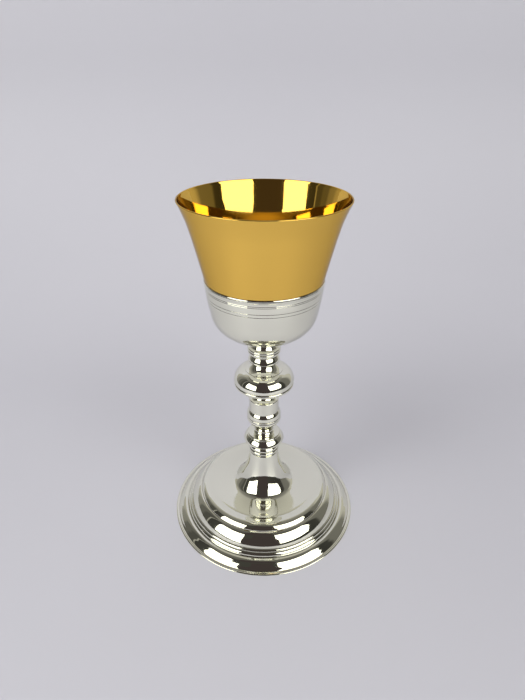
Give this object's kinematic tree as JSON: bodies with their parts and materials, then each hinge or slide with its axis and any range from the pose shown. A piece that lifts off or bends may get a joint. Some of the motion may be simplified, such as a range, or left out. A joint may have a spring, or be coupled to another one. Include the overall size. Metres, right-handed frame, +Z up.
{
  "type": "chalice",
  "caption": "Turned stem chalice: flared gilt cup seated in a plain undercup, moulded stem with a rounded knop, and a stepped round foot open underneath.",
  "frame": {"origin": "middle of the foot's underside, on the surface it stands on", "axes": "+Z up along the turning axis, from the foot to the rim of the cup"},
  "size_m": [0.116, 0.116, 0.2],
  "materials": {
    "gilt": "gilt silver, satin outside and bright inside",
    "silver": "polished silver, slightly warm, with fine handling marks"
  },
  "bodies": {
    "root": {"cup": "gilt", "undercup": "silver", "upper_stem": "silver", "knop": "silver", "lower_stem": "silver", "foot": "silver"}
  },
  "joints": []
}
